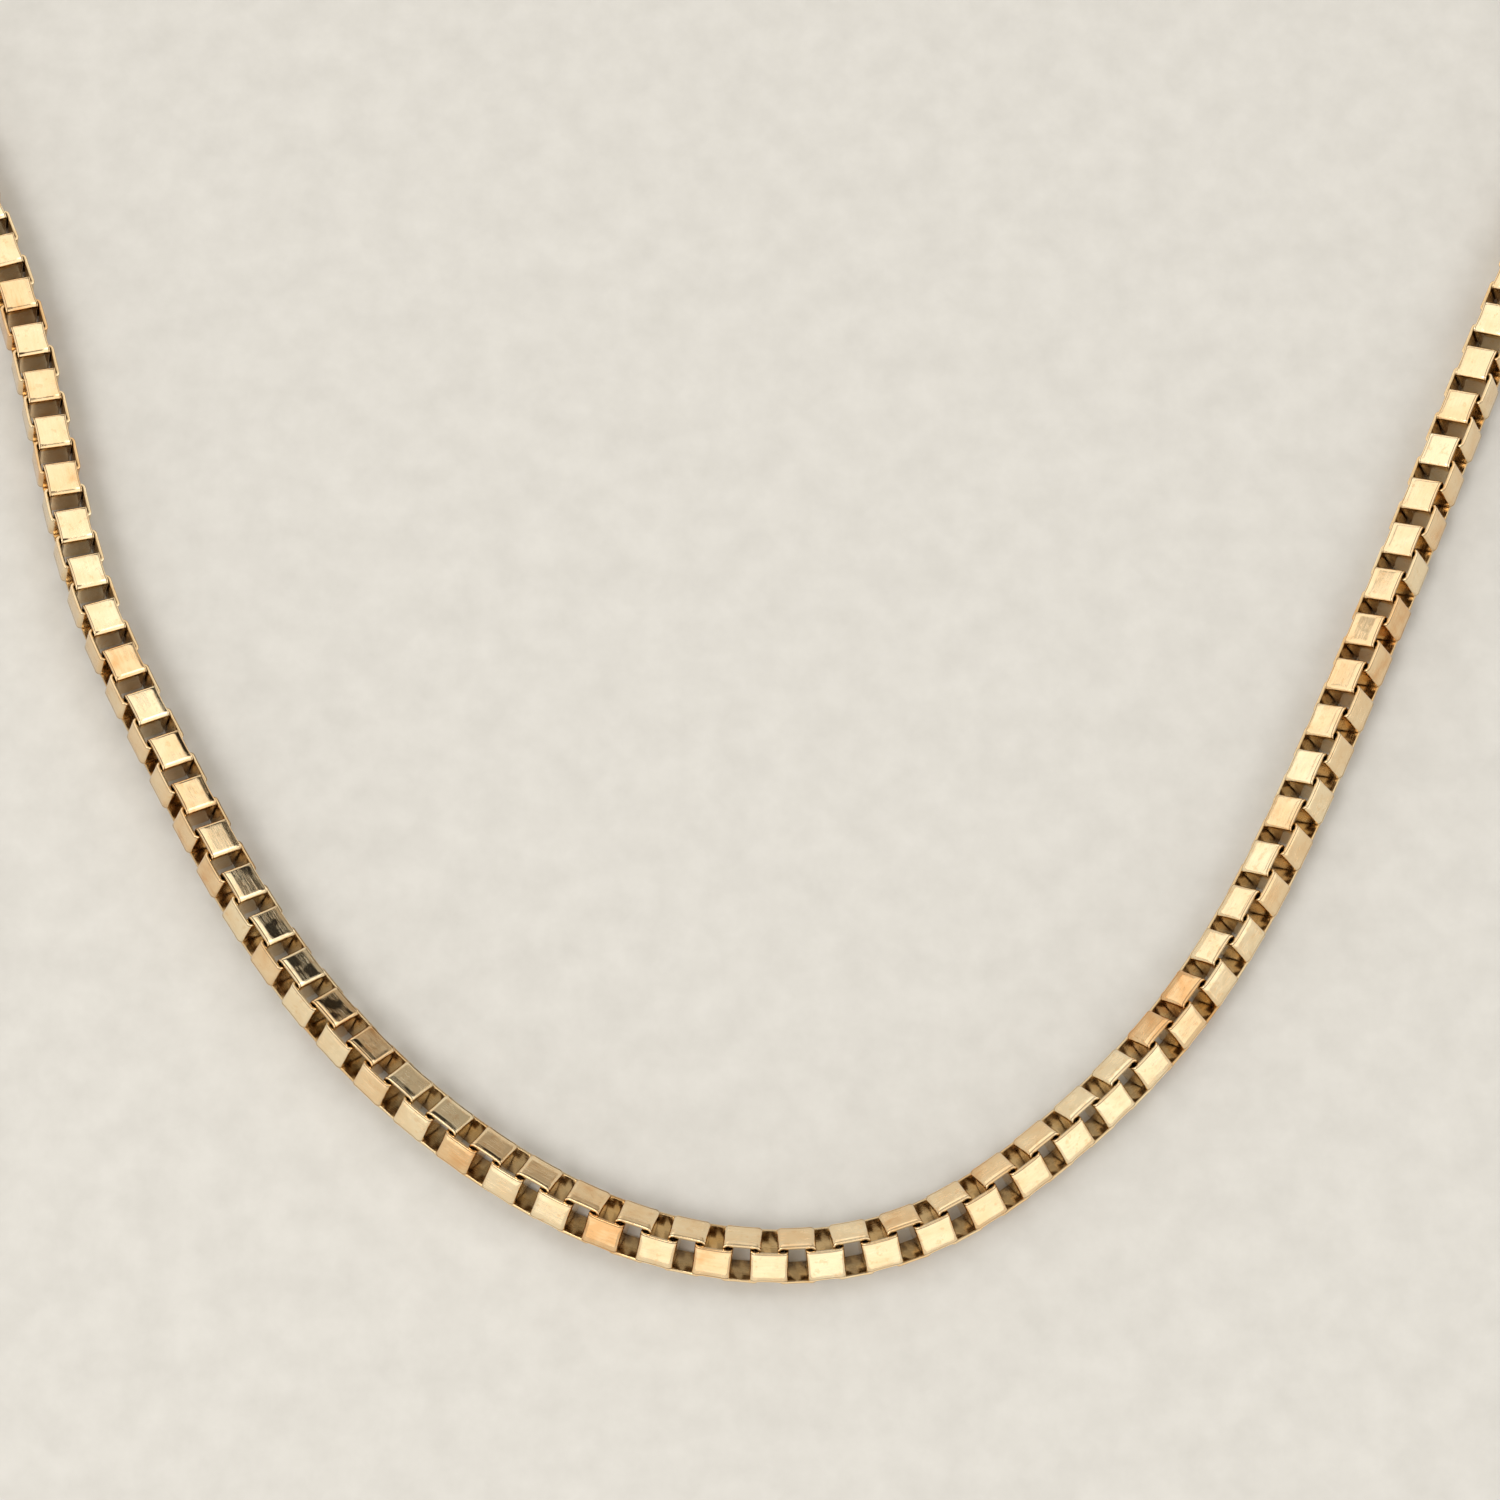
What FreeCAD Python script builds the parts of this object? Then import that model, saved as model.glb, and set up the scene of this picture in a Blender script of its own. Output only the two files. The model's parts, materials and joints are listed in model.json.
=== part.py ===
"""Box-chain necklace, 18 inches long, lying open and face up on a table.

Frame: millimetres, +Z up, +Y from the front of the necklace towards its open ends, +X to the right.
The origin is under the middle of the whole necklace, on the table.

Every link is a flat strip bent into a square ring. Each ring is turned a quarter turn about the chain from
the ring before it, and its end wall stands inside the next ring, one wall gap away from that ring's own wall.
"""
import FreeCAD, Part
import math
import os

import Sketcher

Vector = FreeCAD.Vector
Rotation = FreeCAD.Rotation
Placement = FreeCAD.Placement
UP = Vector(0, 0, 1)

SIZES = {
    # one link
    "link_pitch": 1.87,
    "wall_gap": 0.25,
    "strip_thickness": 0.24,
    "strip_width": 2.36,
    "section_height": 3.0,
    "bend_chamfer": 0.2,
    # the two jump rings
    "ring_radius": 2.35,
    "ring_wire_radius": 0.4,
    "ring_to_wall": 0.92,
    # the clasp's cast hook, measured from its tail eye
    "clasp_thickness": 3.0,
    "eye_radius": 1.125,
    "eye_wire_radius": 0.375,
    "neck_start": 0.95,
    "neck_width": 1.3,
    "shank_start": 1.35,
    "shank_width": 3.2,
    "hook_centre": 6.3,
    "hook_radius": 3.3,
    "throat_radius": 2.1,
    "gate_floor": 0.9,
    "gate_reach": 5.15,
    # the slot and the lever that turns in it
    "pivot_forward": 3.1,
    "pivot_side": 0.55,
    "slot_width": 1.5,
    "slot_start": 1.8,
    "slot_length": 2.9,
    "slot_floor": -0.8,
    "lever_thickness": 1.36,
    "lever_clearance": 0.1,
    "lever_bar_width": 1.15,
    "boss_radius": 1.15,
    "tab_length": 1.1,
    "tab_top": 3.3,
    # the rivet and the spring coiled round it
    "rivet_radius": 0.38,
    "rivet_clearance": 0.02,
    "recess_radius": 0.95,
    "recess_depth": 1.0,
    "coil_radius": 0.64,
    "coil_wire_radius": 0.1,
    "coil_pitch": 0.18,
}

# The chain's centreline, from its left end round the front to its right end. It is longer than the chain at
# both ends, because the chain is laid along it from the middle link outwards.
ROUTE = [
    (-42, 147), (-60, 131), (-73, 108), (-73, 81), (-64, 56), (-54.6, 36.5),
    (-50.3, 22), (-46.9, 10.6), (-41.2, -1.0), (-32.7, -15.4), (-17.3, -30.3), (-6.8, -35.3),
    (3.4, -36.6), (11.8, -34.7), (19.2, -30.1), (30.6, -18.6), (39.7, -2.4), (48.0, 16.4),
    (55.4, 33.5), (64, 52), (73.5, 76), (74.5, 102), (64, 127), (42, 146),
]
MIDDLE_LINK_X = 1.3
LINKS_EACH_SIDE = 117
LINKS_PER_GROUP = 5

# How far the chain's section is turned inwards about its centreline: (link number from the middle, degrees).
ROLL_STATIONS = [
    (-117, 0), (-90, 0), (-52, 12), (-40, 14), (-20, 31), (-6, 42), (4, 46), (14, 46),
    (24, 40), (36, 33), (46, 24), (90, 0), (117, 0),
]

COIL_TURNS = 4
# How far the spring's lowest turn is centred above the recess's floor, in wire radii.
COIL_REST = 1.4

# Heights of each ring's wire above the table: where it passes through the last link, and at its far side.
END_RING_HEIGHTS = (0.70, 0.40)
CLASP_RING_HEIGHTS = (0.70, 1.25)
# The clasp's eye is centred this far outwards from the ring wire that it hangs on.
EYE_OUT_FROM_WIRE = 0.2

# The part of the route, as shares of its length, that holds the middle link.
FRONT_OF_ROUTE = (0.4, 0.6)
# Halvings in a search along the route, and the distance below which two places count as one.
HALVINGS = 60
TINY = 1e-6


def make_sheet(document):
    """Puts the driving sizes in a spreadsheet, one named cell each."""
    sheet = document.addObject("Spreadsheet::Sheet", "Sizes")
    for row, (name, value) in enumerate(SIZES.items(), start=1):
        sheet.set(f"A{row}", name)
        sheet.set(f"B{row}", str(value))
        sheet.setAlias(f"B{row}", name)
    document.recompute()
    return sheet


def bind(feature, **expressions):
    """Binds properties of a feature to expressions over the sheet."""
    for name, expression in expressions.items():
        feature.setExpression(name, expression)
    return feature


# ---------------------------------------------------------------- one link

def origin_plane(body, role):
    """The body's own origin plane with this role."""
    return next(plane for plane in body.Origin.OriginFeatures if plane.Role == role)


def rectangle_sketch(body, name, length, height):
    """A rectangle centred on the body's origin, in its XZ plane, with its sides bound to expressions."""
    sketch = body.newObject("Sketcher::SketchObject", name)
    sketch.AttachmentSupport = [(origin_plane(body, "XZ_Plane"), "")]
    sketch.MapMode = "FlatFace"
    corners = [Vector(-1, -1, 0), Vector(1, -1, 0), Vector(1, 1, 0), Vector(-1, 1, 0)]
    lines = [
        sketch.addGeometry(Part.LineSegment(corners[i], corners[(i + 1) % 4]), False) for i in range(4)
    ]
    for i in range(4):
        sketch.addConstraint(Sketcher.Constraint("Coincident", lines[i], 2, lines[(i + 1) % 4], 1))
        sketch.addConstraint(Sketcher.Constraint("Vertical" if i % 2 else "Horizontal", lines[i]))
    sketch.addConstraint(Sketcher.Constraint("Symmetric", lines[0], 1, lines[2], 1, -1, 1))
    across = sketch.addConstraint(Sketcher.Constraint("DistanceX", lines[0], 1, lines[0], 2, 2))
    upward = sketch.addConstraint(Sketcher.Constraint("DistanceY", lines[1], 1, lines[1], 2, 2))
    sketch.renameConstraint(across, "across")
    sketch.renameConstraint(upward, "upward")
    bind(sketch, **{"Constraints.across": length, "Constraints.upward": height})
    return sketch


def make_link(document):
    """The link that every other one copies: a strip bent to a square ring, its four bends taken off flat.

    The chain runs along X, the ring lies in the XZ plane and the strip's width is along Y.
    """
    body = document.addObject("PartDesign::Body", "link")
    length = "Sizes.link_pitch + Sizes.wall_gap + 2 * Sizes.strip_thickness"
    outside = rectangle_sketch(body, "outside", length, "Sizes.section_height")
    block = body.newObject("PartDesign::Pad", "block")
    block.Profile = outside
    block.SideType = "Symmetric"
    bind(block, Length="Sizes.strip_width")

    inside = rectangle_sketch(
        body,
        "inside",
        "Sizes.link_pitch + Sizes.wall_gap",
        "Sizes.section_height - 2 * Sizes.strip_thickness",
    )
    window = body.newObject("PartDesign::Pocket", "window")
    window.Profile = inside
    window.Type = "ThroughAll"
    window.SideType = "Symmetric"
    document.recompute()

    bends = body.newObject("PartDesign::Chamfer", "bends")
    bends.Base = (window, outer_bend_edges(window.Shape))
    bind(bends, Size="Sizes.bend_chamfer")
    document.recompute()
    if not bends.Shape.Volume < window.Shape.Volume < block.Shape.Volume:
        raise RuntimeError("the link's window or bends took nothing away")
    return body


def outer_bend_edges(shape):
    """Names of the four outer edges that run across the strip."""
    box = shape.BoundBox
    names = []
    for number, edge in enumerate(shape.Edges, start=1):
        middle = edge.CenterOfMass
        outer = abs(abs(middle.x) - box.XMax) < TINY and abs(abs(middle.z) - box.ZMax) < TINY
        if outer and abs(middle.y) < TINY:
            names.append(f"Edge{number}")
    return names


# ---------------------------------------------------------------- where the links lie

def roll_at(number):
    """The section's inward turn in radians, at a link number or halfway between two."""
    stations = ROLL_STATIONS
    number = min(max(number, stations[0][0]), stations[-1][0])
    for (start, low), (end, high) in zip(stations, stations[1:]):
        if number <= end:
            return math.radians(low + (high - low) * (number - start) / (end - start))
    return 0.0


def axis_height(number):
    """Height of the centreline at which the turned section just rests on the table."""
    turn = roll_at(number)
    half_height = SIZES["section_height"] / 2
    half_width = SIZES["strip_width"] / 2
    upright = half_height * math.cos(turn) + half_width * math.sin(turn)
    sideways = half_height * math.sin(turn) + half_width * math.cos(turn)
    return max(upright, sideways)


def centreline():
    """The route as a smooth curve on the table."""
    curve = Part.BSplineCurve()
    curve.interpolate([Vector(x, y, 0) for x, y in ROUTE])
    return curve


def lift(point, number):
    return Vector(point.x, point.y, axis_height(number))


def middle_parameter(curve):
    """The curve's parameter where its front half crosses the middle link's place."""
    first, last = curve.FirstParameter, curve.LastParameter
    low, high = (first + (last - first) * share for share in FRONT_OF_ROUTE)
    for _ in range(HALVINGS):
        middle = (low + high) / 2
        if curve.value(middle).x < MIDDLE_LINK_X:
            low = middle
        else:
            high = middle
    return low


def joint_points():
    """Points where neighbouring links meet, keyed by half numbers from -117.5 to 117.5.

    The first point each way is half a pitch from the middle link's centre, and the others are a pitch apart.
    """
    curve = centreline()
    pitch = SIZES["link_pitch"]
    start = middle_parameter(curve)
    points = {}
    for way in (-1, 1):
        here = lift(curve.value(start), 0)
        parameter = start
        reach = pitch / 2
        for step in range(LINKS_EACH_SIDE + 1):
            number = way * (step + 0.5)
            parameter = parameter_at(curve, here, parameter, way, reach, number)
            here = lift(curve.value(parameter), number)
            points[number] = here
            reach = pitch
    return points


def parameter_at(curve, here, parameter, way, reach, number):
    """The parameter, on from this one, whose lifted point is this far from here in a straight line."""
    speed = curve.getD1(parameter)[1].Length
    near = parameter
    far = parameter + way * 2 * reach / speed
    for _ in range(HALVINGS):
        middle = (near + far) / 2
        if (lift(curve.value(middle), number) - here).Length < reach:
            near = middle
        else:
            far = middle
    if not curve.FirstParameter < near < curve.LastParameter:
        raise RuntimeError("the route is shorter than the chain")
    return near


def frame_of(forward, turn):
    """Rotation that takes X along the chain and Z to the section's upper face, turned inwards."""
    inward = UP.cross(forward).normalize()
    upward = forward.cross(inward).normalize()
    normal = upward * math.cos(turn) + inward * math.sin(turn)
    return Rotation(forward, normal.cross(forward), normal, "ZXY")


def link_places():
    """Placement of every link, keyed by its number from the middle. Odd links' plates face up and down."""
    points = joint_points()
    places = {}
    for number in range(-LINKS_EACH_SIDE, LINKS_EACH_SIDE + 1):
        start = points[number - 0.5]
        end = points[number + 0.5]
        forward = (end - start).normalize()
        quarter_turn = 0 if number % 2 else math.pi / 2
        turn = roll_at(number) - quarter_turn
        places[number] = Placement((start + end) * 0.5, frame_of(forward, turn))
    return places


def group_name(group):
    """Groups are numbered outwards from the one at the front."""
    if group == 0:
        return "links_front"
    side = "left" if group < 0 else "right"
    return f"links_{side}_{abs(group):02d}"


def group_count_each_side():
    return (LINKS_EACH_SIDE - LINKS_PER_GROUP // 2) // LINKS_PER_GROUP


def make_groups(document, link, places):
    """Short runs of separate links, each run one node."""
    groups = []
    half = LINKS_PER_GROUP // 2
    for group in range(-group_count_each_side(), group_count_each_side() + 1):
        copies = []
        for number in range(group * LINKS_PER_GROUP - half, group * LINKS_PER_GROUP + half + 1):
            copy = document.addObject("App::Link", f"link_{number + LINKS_EACH_SIDE:03d}")
            copy.LinkedObject = link
            copy.LinkPlacement = places[number]
            copies.append(copy)
        compound = document.addObject("Part::Compound", group_name(group))
        compound.Links = copies
        groups.append(compound)
    return groups


# ---------------------------------------------------------------- rings

def ring_place(end_link, heights, outward):
    """Placement of a ring through the last link: X points outwards and the origin is where it meets the link.

    The origin is the ring wire's innermost point, inside the link and clear of the link's end wall.
    """
    inner_height, outer_height = heights
    inner_face = SIZES["link_pitch"] / 2 + SIZES["wall_gap"] / 2
    direction = end_link.Rotation.multVec(Vector(outward, 0, 0))
    place = end_link.Base + direction * (inner_face - SIZES["ring_to_wall"])
    rise = math.asin((outer_height - inner_height) / (2 * SIZES["ring_radius"]))
    forward = direction * math.cos(rise) + UP * math.sin(rise)
    return Placement(Vector(place.x, place.y, inner_height), frame_of(forward, 0))


def make_ring(document, name, place):
    """A round-wire jump ring, lying in its own XY plane."""
    ring = bind(
        document.addObject("Part::Torus", name),
        Radius1="Sizes.ring_radius",
        Radius2="Sizes.ring_wire_radius",
    )
    centre = Placement(Vector(SIZES["ring_radius"], 0, 0), Rotation())
    ring.Placement = place.multiply(centre)
    return ring


# ---------------------------------------------------------------- clasp

def clasp_place(ring):
    """Placement of the clasp: X outwards, the eye's centre at the origin, the underside on the table."""
    wire = ring.multVec(Vector(2 * SIZES["ring_radius"], 0, 0))
    outward = ring.Rotation.multVec(Vector(1, 0, 0))
    level = Vector(outward.x, outward.y, 0).normalize()
    middle = wire + level * EYE_OUT_FROM_WIRE
    return Placement(Vector(middle.x, middle.y, SIZES["clasp_thickness"] / 2), frame_of(level, 0))


def cylinder(document, name, radius, height, x, y):
    """An upright cylinder centred on the clasp's middle plane."""
    shape = document.addObject("Part::Cylinder", name)
    bind(shape, Radius=radius, Height=height)
    bind(shape, **{
        "Placement.Base.x": x,
        "Placement.Base.y": y,
        "Placement.Base.z": f"-({height}) / 2",
    })
    return shape


def block(document, name, length, width, height, x, y):
    """A box centred on the clasp's middle plane, from the corner (x, y)."""
    shape = document.addObject("Part::Box", name)
    bind(shape, Length=length, Width=width, Height=height)
    bind(shape, **{
        "Placement.Base.x": x,
        "Placement.Base.y": y,
        "Placement.Base.z": f"-({height}) / 2",
    })
    return shape


def fuse(document, name, shapes):
    joined = document.addObject("Part::MultiFuse", name)
    joined.Shapes = shapes
    return joined


def common(document, name, first, second):
    shared = document.addObject("Part::MultiCommon", name)
    shared.Shapes = [first, second]
    return shared


def cut(document, name, base, tool):
    remainder = document.addObject("Part::Cut", name)
    remainder.Base = base
    remainder.Tool = tool
    return remainder


def make_clasp_body(document, place):
    """The cast hook: tail eye, neck, shank and a round hook, cut for the throat, the gate and the lever."""
    thick = "Sizes.clasp_thickness"
    eye = document.addObject("Part::Torus", "tail_eye")
    bind(eye, Radius1="Sizes.eye_radius", Radius2="Sizes.eye_wire_radius")
    eye.Placement = Placement(Vector(), Rotation(Vector(1, 0, 0), 90))
    solid = fuse(document, "hook_solid", [
        eye,
        block(
            document, "neck", "Sizes.pivot_forward - Sizes.neck_start", "Sizes.neck_width", thick,
            "Sizes.neck_start", "-Sizes.neck_width / 2",
        ),
        block(
            document, "shank", "Sizes.hook_centre - Sizes.throat_radius - Sizes.shank_start",
            "Sizes.shank_width", thick, "Sizes.shank_start", "-Sizes.shank_width / 2",
        ),
        cylinder(document, "hook_disc", "Sizes.hook_radius", thick, "Sizes.hook_centre", "0"),
    ])
    throat = cylinder(
        document, "throat", "Sizes.throat_radius", f"2 * {thick}", "Sizes.hook_centre", "0"
    )
    gate = common(
        document,
        "gate_opening",
        block(
            document, "gate_side", "2 * Sizes.gate_reach", "Sizes.hook_radius", f"2 * {thick}",
            "Sizes.slot_start", "Sizes.gate_floor",
        ),
        cylinder(
            document, "gate_swing", "Sizes.gate_reach", f"2 * {thick}",
            "Sizes.pivot_forward", "Sizes.pivot_side",
        ),
    )
    slot = block(
        document, "lever_slot", "Sizes.slot_length", "Sizes.hook_radius", "Sizes.slot_width",
        "Sizes.slot_start", "Sizes.slot_floor",
    )
    rivet_hole = cylinder(
        document, "rivet_hole", "Sizes.rivet_radius + Sizes.rivet_clearance", f"2 * {thick}",
        "Sizes.pivot_forward", "Sizes.pivot_side",
    )
    body = cut(document, "clasp_body", solid, fuse(document, "hook_cuts", [throat, gate, slot, rivet_hole]))
    body.Placement = place
    return body


def make_clasp_lever(document, place):
    """The gate: a round boss on the rivet, a bar that closes the hook and a tab for the thumb."""
    thick = "Sizes.lever_thickness"
    bar = common(
        document,
        "lever_bar",
        block(
            document, "lever_bar_side", "2 * Sizes.gate_reach", "Sizes.lever_bar_width", thick,
            "Sizes.pivot_forward", "Sizes.gate_floor + Sizes.lever_clearance",
        ),
        cylinder(
            document, "lever_swing", "Sizes.gate_reach - Sizes.lever_clearance", thick,
            "Sizes.pivot_forward", "Sizes.pivot_side",
        ),
    )
    solid = fuse(document, "lever_solid", [
        bar,
        cylinder(
            document, "lever_boss", "Sizes.boss_radius", thick, "Sizes.pivot_forward", "Sizes.pivot_side"
        ),
        block(
            document, "thumb_tab", "Sizes.tab_length", "Sizes.tab_top - Sizes.pivot_side", thick,
            "Sizes.pivot_forward - Sizes.tab_length / 2", "Sizes.pivot_side",
        ),
    ])
    bore = cylinder(
        document, "lever_bore", "Sizes.rivet_radius + Sizes.rivet_clearance", f"2 * {thick}",
        "Sizes.pivot_forward", "Sizes.pivot_side",
    )
    recess = cylinder(
        document, "spring_recess", "Sizes.recess_radius", thick, "Sizes.pivot_forward", "Sizes.pivot_side"
    )
    bind(recess, **{"Placement.Base.z": "Sizes.lever_thickness / 2 - Sizes.recess_depth"})
    lever = cut(document, "clasp_lever", solid, fuse(document, "lever_cuts", [bore, recess]))
    lever.Placement = place
    return lever


def make_lever_rivet(document, place):
    """The pin through both cheeks of the clasp, flush with their faces."""
    pin = document.addObject("Part::Cylinder", "lever_rivet")
    bind(pin, Radius="Sizes.rivet_radius", Height="Sizes.clasp_thickness")
    foot = Vector(SIZES["pivot_forward"], SIZES["pivot_side"], -SIZES["clasp_thickness"] / 2)
    pin.Placement = place.multiply(Placement(foot, Rotation()))
    return pin


def make_lever_spring(document, place):
    """The close-wound spring round the rivet, in the lever's recess: turns that touch, each one a ring."""
    turns = []
    for turn in range(COIL_TURNS):
        ring = document.addObject("Part::Torus", f"coil_turn_{turn}")
        bind(ring, Radius1="Sizes.coil_radius", Radius2="Sizes.coil_wire_radius")
        bind(ring, **{"Placement.Base.z": f"{turn} * Sizes.coil_pitch"})
        turns.append(ring)
    spring = fuse(document, "lever_spring", turns)
    recess_floor = SIZES["lever_thickness"] / 2 - SIZES["recess_depth"]
    lowest = recess_floor + COIL_REST * SIZES["coil_wire_radius"]
    foot = Vector(SIZES["pivot_forward"], SIZES["pivot_side"], lowest)
    spring.Placement = place.multiply(Placement(foot, Rotation()))
    return spring


# ---------------------------------------------------------------- the whole necklace

def combined_box(nodes):
    """The tight box round every node."""
    box = FreeCAD.BoundBox()
    for node in nodes:
        box.add(node.Shape.optimalBoundingBox(True, False))
    return box


def move_to_origin(document, nodes):
    """Stands the necklace on the table with the origin under the middle of its bounding box."""
    box = combined_box(nodes)
    shift = Placement(Vector(-box.Center.x, -box.Center.y, -box.ZMin), Rotation())
    for node in nodes:
        node.Placement = shift.multiply(node.Placement)
    document.recompute()
    return shift.Base


def check(document, nodes):
    """Stops if any object failed or any node has no valid solid."""
    for item in document.Objects:
        if "Invalid" in item.State or "Error" in item.State:
            raise RuntimeError(f"{item.Label} failed: {item.State}")
    for node in nodes:
        if node.Shape.isNull() or not node.Shape.isValid() or not node.Shape.Solids:
            raise RuntimeError(f"{node.Label} has no valid solid")


def export(nodes):
    os.makedirs("parts", exist_ok=True)
    for node in nodes:
        node.Shape.exportStep(f"parts/{node.Label}.step")


def build():
    """Builds the document and returns it with its nodes and the shift from the route to the origin."""
    document = FreeCAD.newDocument("necklace")
    make_sheet(document)
    link = make_link(document)
    places = link_places()
    nodes = make_groups(document, link, places)

    end_ring = ring_place(places[-LINKS_EACH_SIDE], END_RING_HEIGHTS, -1)
    clasp_ring = ring_place(places[LINKS_EACH_SIDE], CLASP_RING_HEIGHTS, 1)
    clasp = clasp_place(clasp_ring)
    nodes.append(make_ring(document, "end_ring", end_ring))
    nodes.append(make_ring(document, "clasp_jump_ring", clasp_ring))
    nodes.append(make_clasp_body(document, clasp))
    nodes.append(make_clasp_lever(document, clasp))
    nodes.append(make_lever_rivet(document, clasp))
    nodes.append(make_lever_spring(document, clasp))
    document.recompute()
    shift = move_to_origin(document, nodes)
    return document, nodes, shift


document, nodes, shift = build()
check(document, nodes)
export(nodes)
whole = combined_box(nodes)
print(f"{len(nodes)} nodes, {sum(len(node.Shape.Solids) for node in nodes)} solids")
print(f"{whole.XLength:.2f} x {whole.YLength:.2f} x {whole.ZLength:.2f} mm, shift {shift}")
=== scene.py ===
import json
import math

import bmesh
import bpy
import numpy as np
from mathutils import Matrix, Vector


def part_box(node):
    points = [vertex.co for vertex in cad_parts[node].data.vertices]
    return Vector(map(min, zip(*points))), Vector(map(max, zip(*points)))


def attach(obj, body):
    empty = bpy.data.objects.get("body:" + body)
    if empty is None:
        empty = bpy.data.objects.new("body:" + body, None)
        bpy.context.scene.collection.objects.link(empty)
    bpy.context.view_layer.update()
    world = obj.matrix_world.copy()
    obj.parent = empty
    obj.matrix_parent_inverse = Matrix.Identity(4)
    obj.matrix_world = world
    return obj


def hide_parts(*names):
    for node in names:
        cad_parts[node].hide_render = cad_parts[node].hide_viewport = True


# Looks of a rose-gold box-chain necklace that lies open on a table.
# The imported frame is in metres: +Z up, +Y from the front of the necklace towards its open ends.
# Shapes below are worked out in millimetres and placed in the frame by MM.

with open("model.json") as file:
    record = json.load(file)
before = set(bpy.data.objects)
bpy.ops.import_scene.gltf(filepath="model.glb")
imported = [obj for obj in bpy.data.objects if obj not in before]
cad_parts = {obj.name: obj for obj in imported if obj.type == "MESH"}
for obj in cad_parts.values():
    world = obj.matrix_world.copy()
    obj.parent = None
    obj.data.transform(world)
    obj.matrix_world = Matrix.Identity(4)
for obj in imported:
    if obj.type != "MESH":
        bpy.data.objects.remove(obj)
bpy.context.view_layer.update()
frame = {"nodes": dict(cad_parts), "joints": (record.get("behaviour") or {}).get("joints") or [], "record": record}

MM = 0.001
UP = Vector((0, 0, 1))
RANDOM = np.random.default_rng(18)

# ---------------------------------------------------------------- sizes, in millimetres

# The flat strip that each link is bent from. A link's outside measures come from the frame.
STRIP_THICKNESS = 0.24
BEND_RADIUS = 0.34
BEND_STEPS = 6
PLATE_STEPS = 6
WALL_STEPS = 4
WAIST = 0.035
WAIST_REACH = 0.5
WAIST_CURVE = 0.7

# Half of the strip's section, from its outer face round its edge to its inner face. Each point is
# (distance in from the edge, depth below the outer face, groove share, edge share).
# The groove and edge shares mark where the shader paints grime and shade in the groove and shade on the edge.
STRIP_EDGE = [
    (0.150, 0.000, 0.0, 0.0),
    (0.105, 0.016, 1.0, 0.0),
    (0.060, 0.000, 0.0, 0.1),
    (0.040, 0.000, 0.0, 0.4),
    (0.012, 0.012, 0.0, 1.0),
    (0.000, 0.040, 0.0, 0.3),
    (0.000, 0.205, 0.0, 0.0),
    (0.035, 0.240, 0.0, 0.5),
]
OUTER_SHARES = (0.0, 0.5)
OUTER_DEPTH = 0.05

# How links differ from each other. The end links of a node turn less, because they meet other bodies.
PLATE_CROWN = (0.000, 0.008)
LOOSE_TURN = math.radians(0.42)
END_LINK_SHARE = 0.3
TURN_SHARES = (1.0, 0.5, 0.5)
TINT_SPREAD = (2.2, 1.6)
TEXTURE_REACH = 50

WIRE_LOOPS = 96
WIRE_SIDES = 20
SOLDER_AT = math.radians(135)
SOLDER_WIDTH = math.radians(5)
SOLDER_SWELL = 0.035

# The clasp, in its own frame: X outwards from the chain, Z up, the origin at its tail eye's centre.
EYE_OUT_FROM_WIRE = 0.2
EYE_RADIUS = 1.125
EYE_WIRE_RADIUS = 0.375
CLASP_HALF_THICKNESS = 1.5
CLASP_ROUNDING = 0.5
HOOK_CENTRE = (6.3, 0.0)
HOOK_RADIUS = 3.3
THROAT_RADIUS = 2.1
NOSE_SLIMNESS = 0.16
NOSE_SLIMS_FROM = 3.5
NOSE_SLIMS_OVER = 6.1
TAIL_SLIMNESS = 0.3
TAIL_SLIMS_FROM = 2.2
TAIL_SLIMS_OVER = 1.3
PIVOT = (3.1, 0.55)
CHEEK_RADIUS = 0.95
CLASP_VOXEL = 0.09
BEVEL_STEPS = 4
CLASP_SMOOTHING = 6
SLOT = ((1.8, -0.8, -0.75), (4.7, 3.4, 0.75))
LEVER_HALF_THICKNESS = 0.68
LEVER_ROUNDING = 0.16
LEVER_REACH = 5.05
LEVER_BOSS_RADIUS = 1.15
TAB_HALF_LENGTH = 0.55
TAB_TOP = 3.3
RIVET_RADIUS = 0.38
RIVET_HOLE_RADIUS = 0.40
RIVET_SHOULDER = 1.34
RIVET_DOME = 0.14
RIVET_DOME_STEPS = 6
TOOL_REACH = 2
RECESS_RADIUS = 0.95
RECESS_FLOOR = -0.32
COIL_RADIUS = 0.64
COIL_WIRE_RADIUS = 0.1
COIL_LOWEST = -0.18
COIL_PITCH = 0.19
COIL_TURNS = 3.2
COIL_STEPS = 24

# Vertices closer than these are one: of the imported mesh, in metres, and of the clasp, in millimetres.
WELD = 2e-6
TOUCHING = 1e-5


# ---------------------------------------------------------------- shader helpers

def add_node(tree, kind, settings=None, inputs=None):
    """Adds a shader node. An input given as a socket is linked, and any other value is set."""
    item = tree.nodes.new(kind)
    for name, value in (settings or {}).items():
        setattr(item, name, value)
    for name, value in (inputs or {}).items():
        if isinstance(value, bpy.types.NodeSocket):
            tree.links.new(value, item.inputs[name])
        else:
            item.inputs[name].default_value = value
    return item


def new_material(name):
    """A material with only its output and a principled shader, and its node tree."""
    material = bpy.data.materials.new(name)
    material.use_nodes = True
    tree = material.node_tree
    tree.nodes.clear()
    shader = tree.nodes.new("ShaderNodeBsdfPrincipled")
    output = tree.nodes.new("ShaderNodeOutputMaterial")
    tree.links.new(shader.outputs["BSDF"], output.inputs["Surface"])
    return material, tree, shader


def math_node(tree, operation, first, second, clamp=False):
    item = add_node(tree, "ShaderNodeMath", {"operation": operation, "use_clamp": clamp})
    for socket, value in zip(item.inputs, (first, second)):
        if isinstance(value, bpy.types.NodeSocket):
            tree.links.new(value, socket)
        else:
            socket.default_value = value
    return item.outputs[0]


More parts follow.
